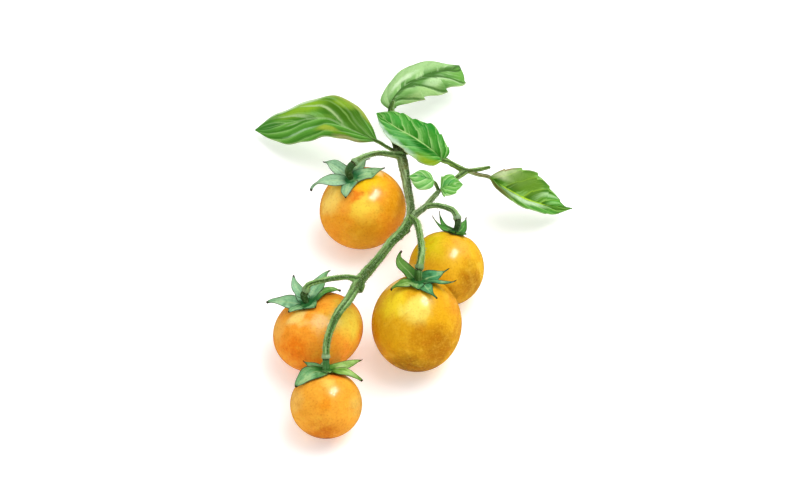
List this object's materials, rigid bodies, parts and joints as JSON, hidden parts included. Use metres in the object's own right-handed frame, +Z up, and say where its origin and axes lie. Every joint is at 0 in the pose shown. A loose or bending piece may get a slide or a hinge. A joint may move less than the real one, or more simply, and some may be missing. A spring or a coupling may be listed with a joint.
{
  "type": "cherry tomato sprig",
  "caption": "Cut sprig of ripe cherry tomatoes on a branching green truss with calyxes and leaves, lying on a surface.",
  "frame": {"origin": "middle of the sprig's footprint on the surface it lies on", "axes": "+Z up from the surface; +Y from the lowest fruit towards the leaves; +X from the long leaf's side towards the pointed leaf's side"},
  "size_m": [0.1078, 0.1628, 0.0363],
  "materials": {
    "stem": "downy grey-green stem, stands in for plant tissue",
    "calyx": "matt green sepals with dark tips, stands in for plant tissue",
    "fruit_1": "smooth glossy golden-orange skin, stands in for tomato",
    "fruit_2": "smooth glossy yellow skin, stands in for tomato",
    "fruit_3": "smooth glossy orange skin, stands in for tomato",
    "fruit_4": "smooth glossy golden-yellow skin, stands in for tomato",
    "fruit_5": "smooth glossy peach-orange skin, stands in for tomato",
    "leaf_left": "satin mid-green leaf with paler veins",
    "leaf_top": "pale green leaf with darker folds",
    "leaf_middle": "vivid green toothed leaf with pale veins",
    "leaf_right": "dark olive toothed leaf with a yellow-green rib",
    "leaflet": "light green small leaf"
  },
  "bodies": {
    "root": {"stem": "stem", "fruit_1": "fruit_1", "calyx_1": "calyx", "fruit_2": "fruit_2", "calyx_2": "calyx", "fruit_3": "fruit_3", "calyx_3": "calyx", "fruit_4": "fruit_4", "calyx_4": "calyx", "fruit_5": "fruit_5", "calyx_5": "calyx", "leaf_left": "leaf_left", "leaf_top": "leaf_top", "leaf_middle": "leaf_middle", "leaf_right": "leaf_right", "leaflet_1": "leaflet", "leaflet_2": "leaflet"}
  },
  "joints": []
}
